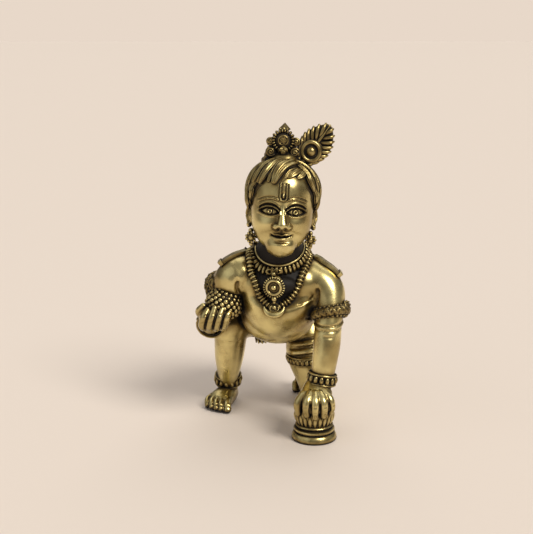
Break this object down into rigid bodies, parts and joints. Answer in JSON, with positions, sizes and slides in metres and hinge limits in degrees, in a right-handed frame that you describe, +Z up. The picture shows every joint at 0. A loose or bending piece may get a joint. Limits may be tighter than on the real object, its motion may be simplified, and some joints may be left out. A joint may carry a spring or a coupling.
{
  "type": "laddu gopal idol",
  "caption": "Small cast brass figure of a crawling child deity, one hand on a lotus pedestal and the other holding a sweet ball, with crown, feather and necklaces.",
  "frame": {"origin": "middle of the casting's footprint, on the surface that it stands on", "axes": "+Z up, from the ground to the crown's tip; the figure faces -Y and its left side is +X"},
  "size_m": [0.0498, 0.0606, 0.0999],
  "materials": {
    "antique_brass": "antique brass, polished on the high spots, with black-brown patina in the recesses"
  },
  "bodies": {
    "root": {"laddu_gopal_idol": "antique_brass"}
  },
  "joints": []
}
